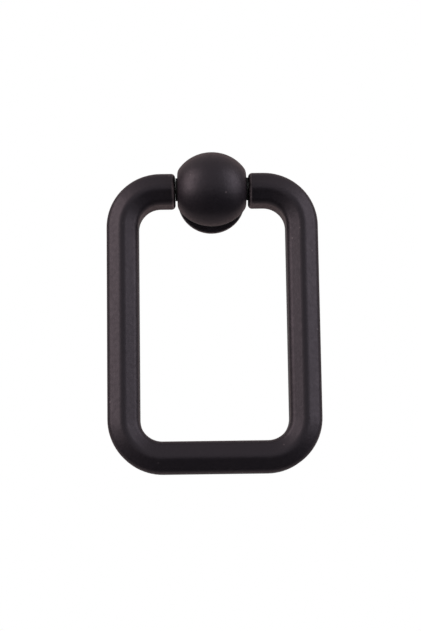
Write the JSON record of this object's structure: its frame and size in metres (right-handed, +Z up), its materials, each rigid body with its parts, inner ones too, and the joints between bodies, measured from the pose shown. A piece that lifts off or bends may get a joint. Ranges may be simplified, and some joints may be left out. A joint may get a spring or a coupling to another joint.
{
  "type": "drop pull",
  "caption": "Drawer drop pull: a ball post on a round foot carries a rounded rectangular bail that hangs from its sides and swings up to be pulled.",
  "frame": {"origin": "mouth of the screw hole, in the middle of the foot's back face", "axes": "+Y out of the back face into the drawer front, so the pull stands out along -Y; +Z up; +X along the pivot pin, to the right seen from the front"},
  "size_m": [0.0532, 0.0229, 0.0808],
  "materials": {
    "black_coat": "satin black coat on cast metal",
    "bare_steel": "plain bare steel",
    "black_nylon": "matte black nylon"
  },
  "bodies": {
    "post": {"ball_post": "black_coat", "pivot_pin": "bare_steel", "left_washer": "black_nylon", "right_washer": "black_nylon"},
    "bail": {"bail": "black_coat"}
  },
  "joints": [
    {"name": "bail_swing", "type": "hinge", "parent": "post", "child": "bail", "pos_m": [0, -0.0136, 0], "axis": [-1, 0, 0], "range_deg": [-5.5, 188]}
  ]
}
